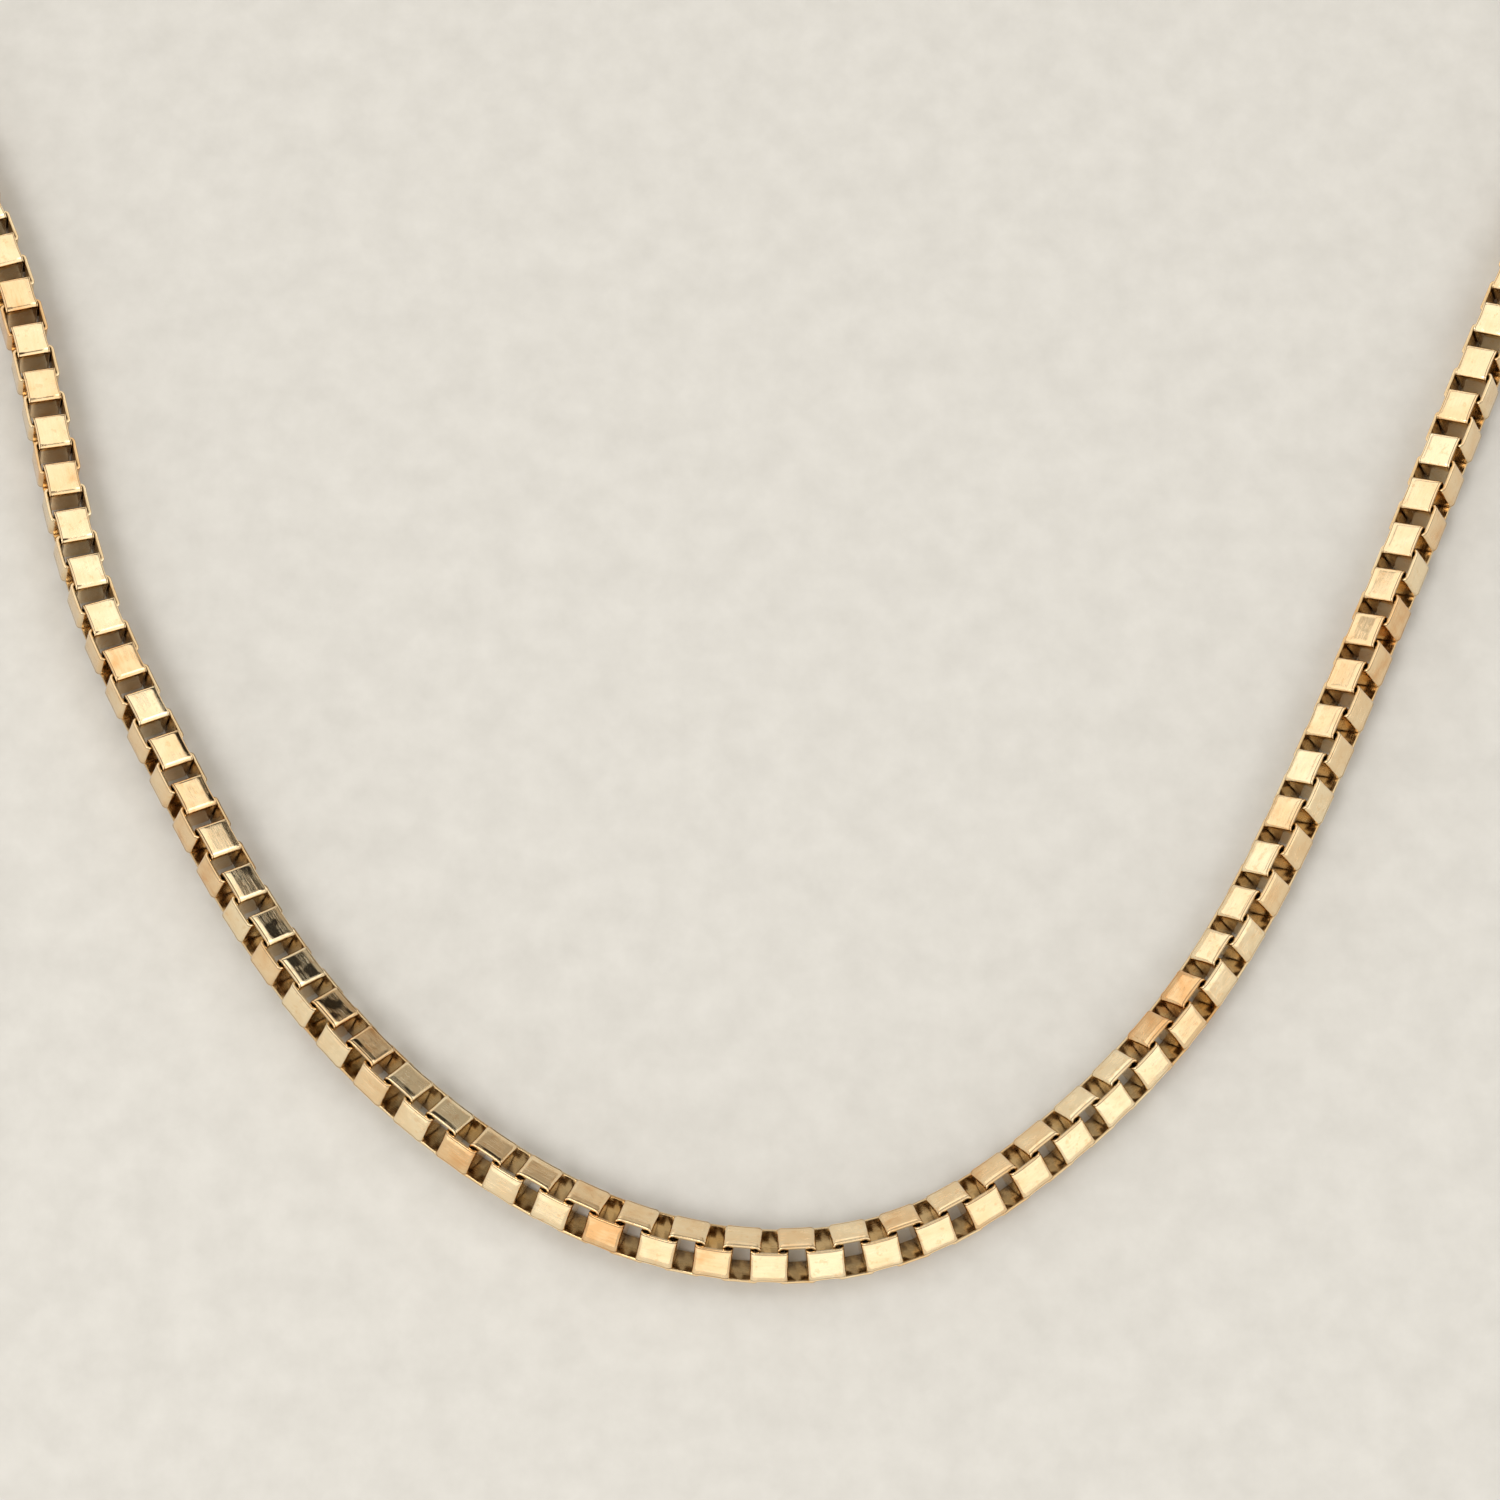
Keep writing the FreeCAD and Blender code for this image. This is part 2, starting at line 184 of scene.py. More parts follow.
def ramp(tree, factor, stops):
    """A colour ramp through (position, colour) stops."""
    item = add_node(tree, "ShaderNodeValToRGB", inputs={"Fac": factor})
    elements = item.color_ramp.elements
    while len(elements) < len(stops):
        elements.new(0.5)
    for element, (position, colour) in zip(elements, stops):
        element.position = position
        element.color = (*colour, 1.0)
    return item.outputs["Color"]


def weighted(tree, patterns, shares, base, clamp=False):
    """The base plus each named pattern by its share, held between 0 and 1 where clamp says so."""
    total = base
    for name, share in shares.items():
        total = math_node(tree, "ADD", total, math_node(tree, "MULTIPLY", patterns[name], share))
    return math_node(tree, "ADD", total, 0.0, clamp=clamp)


def attribute(tree, name, output="Fac"):
    return add_node(tree, "ShaderNodeAttribute", {"attribute_name": name}).outputs[output]


def bumped(tree, shader, height, strength, depth):
    """Raises the shader's surface by the height pattern, to a depth in millimetres."""
    bump = add_node(tree, "ShaderNodeBump", inputs={
        "Strength": strength, "Distance": depth * MM, "Height": height,
    })
    tree.links.new(bump.outputs["Normal"], shader.inputs["Normal"])


def tinted(tree, factor, first, colour):
    """The first colour, mixed with a plain colour by the factor."""
    item = add_node(tree, "ShaderNodeMix", {"data_type": "RGBA"})
    second = (*colour, 1.0)
    for socket, value in ((item.inputs[0], factor), (item.inputs[6], first), (item.inputs[7], second)):
        if isinstance(value, bpy.types.NodeSocket):
            tree.links.new(value, socket)
        else:
            socket.default_value = value
    return item.outputs[2]


def noise(tree, place, scale, detail=2.0, roughness=0.5, distortion=0.0):
    item = add_node(tree, "ShaderNodeTexNoise", inputs={
        "Vector": place, "Scale": scale, "Detail": detail, "Roughness": roughness,
        "Distortion": distortion,
    })
    return item.outputs["Fac"]


def stretched(tree, place, scale, turn=(0.0, 0.0, 0.0)):
    item = add_node(tree, "ShaderNodeMapping", inputs={
        "Vector": place, "Scale": scale, "Rotation": turn,
    })
    return item.outputs["Vector"]


def band(tree, value, centre, half_width):
    """1 where the value is at the centre, falling to 0 at half_width from it."""
    away = math_node(tree, "ABSOLUTE", math_node(tree, "SUBTRACT", value, centre), 0.0)
    return math_node(tree, "SUBTRACT", 1.0, math_node(tree, "DIVIDE", away, half_width), clamp=True)


HAIRLINE_HALF_WIDTH = 0.012
HAIRLINE_STRETCH = 0.25
SCRATCHED_FROM = 0.42
SCRATCHED_SHARPNESS = 6.0


def scratch_layer(tree, place, turn, fineness):
    """Sparse straight hairlines in one direction."""
    drawn_out = stretched(tree, place, (HAIRLINE_STRETCH, fineness, fineness), turn)
    lines = noise(tree, drawn_out, scale=1.0, detail=0.0)
    hairline = band(tree, lines, 0.5, HAIRLINE_HALF_WIDTH)
    patches = math_node(tree, "SUBTRACT", noise(tree, place, scale=0.9, detail=1.0), SCRATCHED_FROM)
    somewhere = math_node(tree, "MULTIPLY", patches, SCRATCHED_SHARPNESS, clamp=True)
    return math_node(tree, "MULTIPLY", hairline, somewhere)


# ---------------------------------------------------------------- materials

COPPERY = (0.78, 0.46, 0.21)
ROSE = (0.88, 0.63, 0.36)
PALE = (0.95, 0.79, 0.53)
# The darker colours below are painted shade on the links: the insides go towards deep gold and the strip edges
# towards rim brown, and the grooves towards grime and painted shade. On the fittings they darken random blots and
# clouds.
DEEP_GOLD = (0.22, 0.125, 0.025)
SHADE_AND_GRIME = (0.10, 0.052, 0.02)
RIM_BROWN = (0.38, 0.22, 0.09)
GOLD_STOPS = [(0.0, COPPERY), (0.22, ROSE), (0.75, PALE), (1.0, PALE)]

# Each pattern's share of the gold's shade (0 is coppery, 1 is pale), roughness and relief.
SHADE_BASE = -0.59
SHADE_SHARES = {"tint": 0.75, "clouds": 0.90, "streaks": 0.35}
ROUGHNESS_BASE = 0.01
ROUGHNESS_SHARES = {
    "streaks": 0.10, "tint": 0.05, "hairlines": 0.22, "hollow": 0.10, "edge": 0.10, "worn": 0.12,
}
RELIEF_SHARES = {"dents": 0.40, "streaks": 0.25, "hairlines": -0.25}
RELIEF_STRENGTH = 0.5
RELIEF_DEPTH = 0.012

# How far each place goes towards its colour, and which stains are worn spots and blots. On the links, the inside
# and the rim go towards painted shade and the groove towards grime and painted shade.
WORN_ON_LINKS = 0.45
WORN_ON_FITTINGS = 0.20
WORN_CENTRE = 0.68
WORN_HALF_WIDTH = 0.10
BLOT_CENTRE = 0.75
BLOT_HALF_WIDTH = 0.15
INSIDE_SHARE = 0.78
RIM_SHARE = 0.55
SHADE_AND_GRIME_BASE = 0.45
FITTING_SHARE = 0.3

STREAK_STRETCH = (0.7, 7.0, 7.0)
SCRATCH_TURNS = [(0, 0, 0.1), (0.3, 0, 0.9), (0, 0.4, -0.6), (0.2, 0.1, 2.2)]
COARSEST_SCRATCH = 5.0
SCRATCH_STEP = 3.0


def gold_patterns(tree, place, marked):
    """The named patterns that the gold's colour, roughness and relief are made of.

    Where marked, each link has its own tint, and its inside, groove and edges are marked on its mesh;
    otherwise the tint varies softly over the piece.
    """
    drawn_out = stretched(tree, place, STREAK_STRETCH)
    patterns = {
        "streaks": noise(tree, drawn_out, scale=1.0, detail=3.0, roughness=0.6),
        "clouds": noise(tree, place, scale=0.55, distortion=0.4),
        "stains": noise(tree, place, scale=1.7, detail=3.0, roughness=0.65),
        "dents": noise(tree, place, scale=2.2),
    }
    if marked:
        patterns.update((name, attribute(tree, name)) for name in ("tint", "hollow", "groove", "edge"))
    else:
        blots = band(tree, patterns["stains"], BLOT_CENTRE, BLOT_HALF_WIDTH)
        patterns["tint"] = noise(tree, place, scale=0.16, detail=0.0)
        patterns["hollow"] = math_node(tree, "MULTIPLY", blots, FITTING_SHARE)
        patterns["groove"] = patterns["hollow"]
        patterns["edge"] = math_node(tree, "MULTIPLY", patterns["clouds"], FITTING_SHARE)
    spots = band(tree, patterns["stains"], WORN_CENTRE, WORN_HALF_WIDTH)
    worn_share = WORN_ON_LINKS if marked else WORN_ON_FITTINGS
    patterns["worn"] = math_node(tree, "MULTIPLY", spots, worn_share)
    hairlines = 0.0
    for number, turn in enumerate(SCRATCH_TURNS):
        layer = scratch_layer(tree, place, turn, COARSEST_SCRATCH + SCRATCH_STEP * number)
        hairlines = math_node(tree, "ADD", hairlines, layer, clamp=True)
    patterns["hairlines"] = hairlines
    return patterns


def gold_material(name, place_of, marked):
    """Rose gold that has been worn: tint and polish vary, with streaks and hairlines. On the links, painted shade
    darkens the inside and the strip edges, and grime and painted shade darken the grooves.

    place_of(tree) gives coordinates in millimetres.
    """
    material, tree, shader = new_material(name)
    patterns = gold_patterns(tree, place_of(tree), marked)
    shade = weighted(tree, patterns, SHADE_SHARES, SHADE_BASE, clamp=True)
    # Painted shade on the links: their inner faces go towards deep gold. On the fittings this darkens random
    # blots.
    inside = math_node(tree, "MULTIPLY", patterns["hollow"], INSIDE_SHARE)
    # Painted shade on the links: their strip edges go towards brown. On the fittings this darkens random clouds.
    rim = math_node(tree, "MULTIPLY", patterns["edge"], RIM_SHARE)
    # Grime and painted shade on the links: the grooves by the strip edges go darker in patches. On the fittings
    # this darkens random blots.
    mottle = math_node(tree, "ADD", patterns["clouds"], SHADE_AND_GRIME_BASE)
    shade_and_grime = math_node(tree, "MULTIPLY", patterns["groove"], mottle, clamp=True)
    colour = tinted(tree, patterns["worn"], ramp(tree, shade, GOLD_STOPS), COPPERY)
    colour = tinted(tree, inside, colour, DEEP_GOLD)
    colour = tinted(tree, rim, colour, RIM_BROWN)
    colour = tinted(tree, shade_and_grime, colour, SHADE_AND_GRIME)
    rough = weighted(tree, patterns, ROUGHNESS_SHARES, ROUGHNESS_BASE, clamp=True)
    tree.links.new(colour, shader.inputs["Base Color"])
    tree.links.new(rough, shader.inputs["Roughness"])
    bumped(tree, shader, weighted(tree, patterns, RELIEF_SHARES, 0.0), RELIEF_STRENGTH, RELIEF_DEPTH)
    shader.inputs["Metallic"].default_value = 1.0
    return material


def strip_coordinates(tree):
    """Each link's own coordinates along its strip, in millimetres."""
    return attribute(tree, "strip_place", "Vector")


def frame_coordinates(tree):
    """The piece's own coordinates, in millimetres."""
    own = add_node(tree, "ShaderNodeTexCoord").outputs["Object"]
    scale = add_node(tree, "ShaderNodeVectorMath", {"operation": "SCALE"}, {0: own, "Scale": 1 / MM})
    return scale.outputs[0]


STEEL_STOPS = [(0.3, (0.32, 0.33, 0.35)), (0.7, (0.62, 0.63, 0.65))]
STEEL_STRETCH = (12.0, 12.0, 3.0)
STEEL_ROUGHNESS = 0.15
STEEL_MARK_ROUGHNESS = 0.3
STEEL_STRENGTH = 0.4
STEEL_DEPTH = 0.004


def steel_material():
    """Drawn spring wire: grey, with fine marks along it."""
    material, tree, shader = new_material("spring_steel")
    drawn_out = stretched(tree, frame_coordinates(tree), STEEL_STRETCH)
    marks = noise(tree, drawn_out, scale=1.0, detail=3.0)
    tree.links.new(ramp(tree, marks, STEEL_STOPS), shader.inputs["Base Color"])
    rough = weighted(tree, {"marks": marks}, {"marks": STEEL_MARK_ROUGHNESS}, STEEL_ROUGHNESS)
    tree.links.new(rough, shader.inputs["Roughness"])
    bumped(tree, shader, marks, STEEL_STRENGTH, STEEL_DEPTH)
    shader.inputs["Metallic"].default_value = 1.0
    return material


TABLE_STOPS = [(0.3, (0.50, 0.49, 0.465)), (0.7, (0.555, 0.545, 0.52))]
TABLE_ROUGHNESS = 0.65
TABLE_STRENGTH = 0.2
TABLE_DEPTH = 0.02


def floor_material():
    """A pale matt table top with a faint grain."""
    material, tree, shader = new_material("pale_table")
    grain = noise(tree, frame_coordinates(tree), scale=0.35, detail=4.0, roughness=0.6)
    tree.links.new(ramp(tree, grain, TABLE_STOPS), shader.inputs["Base Color"])
    bumped(tree, shader, grain, TABLE_STRENGTH, TABLE_DEPTH)
    shader.inputs["Roughness"].default_value = TABLE_ROUGHNESS
    return material


# ---------------------------------------------------------------- pieces

def finish_piece(piece, material, body, slot_name, *nodes):
    """Gives a piece its material, smooth faces and body, and hides the CAD nodes that it stands for. The slot name
    is not used.
    """
    piece.data.materials.clear()
    piece.data.materials.append(material)
    piece.data.shade_smooth()
    piece.modifiers.new("even_normals", "WEIGHTED_NORMAL")
    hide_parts(*nodes)
    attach(piece, body)
    return piece


def add_object(name, mesh):
    piece = bpy.data.objects.new(name, mesh)
    bpy.context.scene.collection.objects.link(piece)
    return piece


def applied(mesh, *modifiers):
    """The mesh with these modifiers applied: each is (kind, settings)."""
    holder = add_object("holder", mesh)
    for kind, settings in modifiers:
        modifier = holder.modifiers.new(kind.lower(), kind)
        for name, value in settings.items():
            setattr(modifier, name, value)
    evaluated = holder.evaluated_get(bpy.context.evaluated_depsgraph_get())
    made = bpy.data.meshes.new_from_object(evaluated)
    bpy.data.objects.remove(holder)
    return made


# ---------------------------------------------------------------- links

def ring_stations(half_length, half_height):
    """Stations round a link's outer face, in its XZ plane.

    Each is (place, outward, distance from the nearest bend, share of the way from a plate's middle).
    """
    stations = []
    for quarter, (sign_x, sign_z) in enumerate([(1, 1), (-1, 1), (-1, -1), (1, -1)]):
        centre = Vector((sign_x * (half_length - BEND_RADIUS), sign_z * (half_height - BEND_RADIUS)))
        for step in range(BEND_STEPS + 1):
            angle = (quarter + step / BEND_STEPS) * math.pi / 2
            outward = Vector((math.cos(angle), math.sin(angle)))
            stations.append((centre + outward * BEND_RADIUS, outward, 0.0, 1.0))
        last, outward = stations[-1][:2]
        forward = Vector((-outward.y, outward.x))
        plate = quarter % 2 == 0
        length = 2 * ((half_length if plate else half_height) - BEND_RADIUS)
        steps = PLATE_STEPS if plate else WALL_STEPS
        for step in range(1, steps):
            share = 0.5 - 0.5 * math.cos(math.pi * step / steps)
            from_bend = min(share, 1 - share) * length
            from_middle = 2 * share - 1 if plate else 1.0
            stations.append((last + forward * share * length, outward, from_bend, from_middle))
    return stations


def strip_section():
    """Points round the section, as (side, distance in from the edge, share, depth, groove, edge).

    A point has either a distance in from the edge or, where that is None, a share of the half width.
    """
    section = []
    for side in (1, -1):
        half = [(side, None, share, 0.0, 0.0, 0.0) for share in OUTER_SHARES if share or side > 0]
        half += [(side, inwards, 0.0, *rest) for inwards, *rest in STRIP_EDGE]
        section += half if side > 0 else half[::-1]
        if side > 0:
            section.append((1, None, 0.0, STRIP_THICKNESS, 0.0, 0.0))
    return section


def base_link(half_length, half_width, half_height):
    """The link's surface: places, crown weights, marks for the shader, and faces."""
    stations = ring_stations(half_length, half_height)
    section = strip_section()
    places, crowns, marks = [], [], []
    for place, outward, from_bend, from_middle in stations:
        narrowing = WAIST * min(from_bend / WAIST_REACH, 1.0) ** WAIST_CURVE
        reach = half_width - narrowing
        for side, inwards, share, depth, groove, edge in section:
            across = side * (reach * share if inwards is None else reach - inwards)
            spot = place - outward * depth
            places.append((spot.x, across, spot.y))
            crown = (1 - from_middle ** 2) * (1 - (across / half_width) ** 2)
            crown *= depth < OUTER_DEPTH
            crowns.append((outward.x * crown, 0.0, outward.y * crown))
            # The groove, edge and inside marks say where the shader paints shade, and grime as well in the groove.
            marks.append((groove, edge, min(depth / STRIP_THICKNESS, 1.0) ** 2))
    columns = len(section)
    faces = []
    for row in range(len(stations)):
        next_row = (row + 1) % len(stations)
        for column in range(columns):
            next_column = (column + 1) % columns
            faces.append((
                row * columns + column,
                row * columns + next_column,
                next_row * columns + next_column,
                next_row * columns + column,
            ))
    return np.array(places), np.array(crowns), np.array(marks), np.array(faces)


def islands(mesh):
    """The faces of each separate solid."""
    left = set(mesh.faces)
    while left:
        start = next(face for face in mesh.faces if face in left)
        island, front = [], [start]
        left.discard(start)
        while front:
            face = front.pop()
            island.append(face)
            near = {other for edge in face.edges for other in edge.link_faces} & left
            left -= near
            front += near
        yield island


def fit_link(faces):
    """Centre, axes and half extents of one packed link, in metres.

    A link's faces look mostly along the chain, less along its plates' normal and least across the
    strip, so the axes are those of the area-weighted sum of its faces' normals.
    """
    spread = np.zeros((3, 3))
    for face in faces:
        normal = np.array(face.normal)
        spread += face.calc_area() * np.outer(normal, normal)
    across, upward, along = (Vector(axis) for axis in np.linalg.eigh(spread)[1].T)
    corners = [vertex.co for face in faces for vertex in face.verts]
    if upward.z < 0:
        upward.negate()
    axes = (along, upward.cross(along), upward)
    centre, halves = Vector(), []
    for axis in axes:
        reach = [corner.dot(axis) for corner in corners]
        centre += axis * (max(reach) + min(reach)) / 2
        halves.append((max(reach) - min(reach)) / 2)
    return centre, axes, halves


def fitted_links(node, start):
    """Every link of a CAD node, in order from a point outwards."""
    packed = bmesh.new()
    packed.from_mesh(frame["nodes"][node].data)
    bmesh.ops.remove_doubles(packed, verts=packed.verts, dist=WELD)
    links = [fit_link(island) for island in islands(packed)]
    packed.free()
    return sorted(links, key=lambda link: (link[0] - start).length)


def loose_turn(amount):
    """A very small random rotation, because links don't lie quite alike."""
    turns = RANDOM.normal(0.0, amount, 3)
    turn = Matrix.Identity(3)
    for angle, axis, share in zip(turns, "XYZ", TURN_SHARES):
        turn = turn @ Matrix.Rotation(angle * share, 3, axis)
    return np.array(turn)


def links_mesh(name, links, link):
    """One mesh of several separate links, each with its own slight differences."""
    places, crowns, marks, faces = link
    everything = {"places": [], "faces": [], "strip_place": [], "tint": [], "marks": []}
    for number, (centre, axes, _) in enumerate(links):
        at_end = number in (0, len(links) - 1)
        crowned = places + crowns * RANDOM.uniform(*PLATE_CROWN)
        own = crowned @ loose_turn(LOOSE_TURN * (END_LINK_SHARE if at_end else 1.0)).T
        turned = own @ np.array([list(axis) for axis in axes])
        everything["places"].append(turned * MM + np.array(centre))
        everything["faces"].append(faces + number * len(places))
        everything["strip_place"].append(places + RANDOM.uniform(-TEXTURE_REACH, TEXTURE_REACH, 3))
        everything["tint"].append(np.full(len(places), RANDOM.beta(*TINT_SPREAD)))
        everything["marks"].append(marks)
    joined = {key: np.concatenate(value) for key, value in everything.items()}
    mesh = bpy.data.meshes.new(name)
    mesh.from_pydata(joined["places"].tolist(), [], joined["faces"].tolist())
    vector = mesh.attributes.new("strip_place", "FLOAT_VECTOR", "POINT")
    vector.data.foreach_set("vector", joined["strip_place"].astype(np.float32).ravel())
    columns = {"tint": joined["tint"]}
    columns.update(zip(("groove", "edge", "hollow"), joined["marks"].T))
    for attribute, values in columns.items():
        made = mesh.attributes.new(attribute, "FLOAT", "POINT")
        made.data.foreach_set("value", values.astype(np.float32))
    mesh.update()
    return mesh


def make_chain(material):
    """A piece for every CAD node of links."""
    starts = {joint["child"]: Vector(joint["pos_m"]) for joint in frame["joints"]}
    link = None
    for body, nodes in frame["record"]["behaviour"]["bodies"].items():
        for node in (name for name in nodes if name.startswith("links_")):
            low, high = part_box(node)
            start = starts.get(body, Vector((low.x, (low.y + high.y) / 2, 0)))
            links = fitted_links(node, start)
            if link is None:
                link = base_link(*(half / MM for half in links[0][2]))
            piece = add_object(node.replace("links", "box_links"), links_mesh(node, links, link))
            finish_piece(piece, material, body, "chain", node)


# ---------------------------------------------------------------- rings

def ring_frame(node):
    """Centre, axes and radii of a round-wire ring in the frame, in metres."""
    spots = np.array([vertex.co for vertex in frame["nodes"][node].data.vertices])
    centre = (spots.max(axis=0) + spots.min(axis=0)) / 2
    axis = Vector(np.linalg.eigh(np.cov((spots - centre).T))[1][:, 0])
    if axis.z < 0:
        axis.negate()
    first = axis.orthogonal().normalized()
    wire = np.abs((spots - centre) @ np.array(axis)).max()
    outer = np.linalg.norm(spots - centre, axis=1).max()
    return Vector(centre), (first, axis.cross(first), axis), outer - wire, wire


def torus_mesh(name, centre, axes, radius, wire, solder_at=None):
    """A ring of round wire, with a soldered joint that stands a little proud."""
    places, faces = [], []
    for loop in range(WIRE_LOOPS):
        angle = 2 * math.pi * loop / WIRE_LOOPS
        outward = axes[0] * math.cos(angle) + axes[1] * math.sin(angle)
        swell = 1.0
        if solder_at is not None:
            away = (angle - solder_at) / SOLDER_WIDTH
            swell += SOLDER_SWELL * math.exp(-away * away)
        for side in range(WIRE_SIDES):
            turn = 2 * math.pi * side / WIRE_SIDES
            offset = outward * math.cos(turn) + axes[2] * math.sin(turn)
            places.append(centre + outward * radius + offset * wire * swell)
            next_loop = (loop + 1) % WIRE_LOOPS
            next_side = (side + 1) % WIRE_SIDES
            faces.append((
                loop * WIRE_SIDES + side,
                next_loop * WIRE_SIDES + side,
                next_loop * WIRE_SIDES + next_side,
                loop * WIRE_SIDES + next_side,
            ))
    mesh = bpy.data.meshes.new(name)
    mesh.from_pydata(places, [], faces)
    return mesh


def make_rings(material):
    for node, body in (("end_ring", "end_ring"), ("clasp_jump_ring", "clasp_ring")):
        mesh = torus_mesh(node, *ring_frame(node), solder_at=SOLDER_AT)
        piece = add_object(node.replace("ring", "wire_ring"), mesh)
        finish_piece(piece, material, body, "rings", node)


# ---------------------------------------------------------------- clasp

def clasp_matrix():
    """Takes the clasp's own millimetres to the frame."""
    joints = {joint["name"]: joint for joint in frame["joints"]}
    wire = Vector(joints["clasp_swing"]["pos_m"])
    outward = UP.cross(Vector(joints["clasp_swing"]["axis"])).normalized()
    upward = -Vector(joints["lever_press"]["axis"])
    origin = wire + outward * EYE_OUT_FROM_WIRE * MM
    origin.z = joints["lever_press"]["pos_m"][2]
    turn = Matrix([outward, upward.cross(outward), upward]).transposed().to_4x4()
    return Matrix.Translation(origin) @ turn @ Matrix.Scale(MM, 4)


def arc(centre, radius, start, end, steps):
    """Points of an arc, from one angle in degrees to another."""
    points = []
    for step in range(steps + 1):
        angle = math.radians(start + (end - start) * step / steps)
        points.append((centre[0] + radius * math.cos(angle), centre[1] + radius * math.sin(angle)))
    return points


def hook_outline():
    """The clasp body's outline: tail, hook, nose, throat, gate floor and the cheeks round the pivot."""
    tail = [(0.95, -0.62), (1.3, -0.75), (1.7, -1.2), (2.2, -1.53), (2.8, -1.66)]
    back = arc(HOOK_CENTRE, HOOK_RADIUS, -149, 60, 44)
    nose = [(7.78, 2.80), (8.05, 2.35), (8.22, 1.75), (8.30, 1.25)]
    throat = arc(HOOK_CENTRE, THROAT_RADIUS, 20, -205, 44)
    cheeks = arc(PIVOT, CHEEK_RADIUS, 22, 158, 14)
    shoulder = [(1.95, 1.1), (1.7, 1.2), (1.45, 1.0), (1.3, 0.75), (0.95, 0.62)]
    return tail + back + nose + throat + cheeks + shoulder


def lever_outline():
    """The lever's outline: boss, bar, its end beside the nose, and the thumb tab."""
    boss_x, boss_y = PIVOT
    boss = arc(PIVOT, LEVER_BOSS_RADIUS, 190, 383, 24)
    bar_end = arc(PIVOT, LEVER_REACH, 5.4, 18.0, 5)
    back = [(7.2, 2.32), (6.2, 2.44), (5.2, 2.42), (4.4, 2.30), (3.95, 2.30), (3.72, 2.42)]
    tab = arc((boss_x, TAB_TOP - TAB_HALF_LENGTH), TAB_HALF_LENGTH, 0, 180, 12)
    behind = [(boss_x - TAB_HALF_LENGTH, 1.9), (boss_x - 0.75, 1.42), (boss_x - 1.0, boss_y + 0.55)]
    return boss + bar_end + back + tab + behind


def rounded_plate(outline, half_thickness, rounding):
    """A plate of this outline with rounded edges, as a closed mesh."""
    curve = bpy.data.curves.new("outline", "CURVE")
    curve.dimensions = "2D"
    curve.fill_mode = "BOTH"
    curve.extrude = half_thickness - rounding
    curve.bevel_depth = rounding
    curve.bevel_resolution = BEVEL_STEPS
    curve.offset = -rounding
    spline = curve.splines.new("POLY")
    spline.points.add(len(outline) - 1)
    for point, (x, y) in zip(spline.points, outline):
        point.co = (x, y, 0.0, 1.0)
    spline.use_cyclic_u = True
    holder = bpy.data.objects.new("outline", curve)
    mesh = bpy.data.meshes.new_from_object(holder)
    bpy.data.objects.remove(holder)
    return welded(mesh)


def welded(mesh):
    """The mesh with the vertices that meet made one and its faces turned outwards."""
    work = bmesh.new()
    work.from_mesh(mesh)
    bmesh.ops.remove_doubles(work, verts=work.verts, dist=TOUCHING)
    bmesh.ops.recalc_face_normals(work, faces=work.faces)
    work.to_mesh(mesh)
    work.free()
    return mesh


def joined(*meshes):
    """One mesh of several."""
    work = bmesh.new()
    for mesh in meshes:
        work.from_mesh(mesh)
    made = bpy.data.meshes.new("joined")
    work.to_mesh(made)
    work.free()
    return made


def box_mesh(low, high):
    work = bmesh.new()
    bmesh.ops.create_cube(work, size=1.0)
    for vertex in work.verts:
        vertex.co = [a + (b - a) * (c + 0.5) for a, b, c in zip(low, high, vertex.co)]
    made = bpy.data.meshes.new("box")
    work.to_mesh(made)
    work.free()
    return made


def lathe(profile, steps=48):
    """A closed solid of revolution round the pivot: profile is (radius, height) from axis to axis."""
    work = bmesh.new()
    spots = [work.verts.new((radius, 0.0, height)) for radius, height in profile]
    edges = [work.edges.new(pair) for pair in zip(spots, spots[1:])]
    bmesh.ops.spin(work, geom=spots + edges, cent=(0, 0, 0), axis=(0, 0, 1), angle=2 * math.pi,
                   steps=steps, use_duplicate=False)
    for vertex in work.verts:
        vertex.co += Vector((*PIVOT, 0.0))
    made = bpy.data.meshes.new("lathed")
    work.to_mesh(made)
    work.free()
    return welded(made)


def drill(radius, floor):
    """A cylinder round the pivot, from its floor up past the clasp."""
    return lathe([(0, floor), (radius, floor), (radius, TOOL_REACH), (0, TOOL_REACH)])


def cut_by(mesh, *tools):
    """The mesh less each tool."""
    holders = [add_object("tool", tool) for tool in tools]
    cuts = [
        ("BOOLEAN", {"operation": "DIFFERENCE", "solver": "EXACT", "object": holder})
        for holder in holders
    ]
    made = applied(mesh, *cuts)
    for holder in holders:
        bpy.data.objects.remove(holder)
    return welded(made)


def hook_mesh():
    """The cast hook with its tail eye, softly blended, then slotted for the lever and drilled."""
    plate = rounded_plate(hook_outline(), CLASP_HALF_THICKNESS, CLASP_ROUNDING)
    for vertex in plate.vertices:
        nose = min(max((vertex.co.x - NOSE_SLIMS_FROM) / NOSE_SLIMS_OVER, 0.0), 1.0)
        tail = min(max((TAIL_SLIMS_FROM - vertex.co.x) / TAIL_SLIMS_OVER, 0.0), 1.0)
        vertex.co.z *= (1 - NOSE_SLIMNESS * nose) * (1 - TAIL_SLIMNESS * tail)
    eye_axes = (Vector((1, 0, 0)), Vector((0, 0, -1)), Vector((0, 1, 0)))
    eye = torus_mesh("eye", Vector(), eye_axes, EYE_RADIUS, EYE_WIRE_RADIUS)
    cast = applied(
        joined(plate, eye),
        ("REMESH", {"mode": "VOXEL", "voxel_size": CLASP_VOXEL}),
        ("SMOOTH", {"factor": 0.5, "iterations": CLASP_SMOOTHING}),
    )
    return cut_by(cast, box_mesh(*SLOT), drill(RIVET_HOLE_RADIUS, -TOOL_REACH))


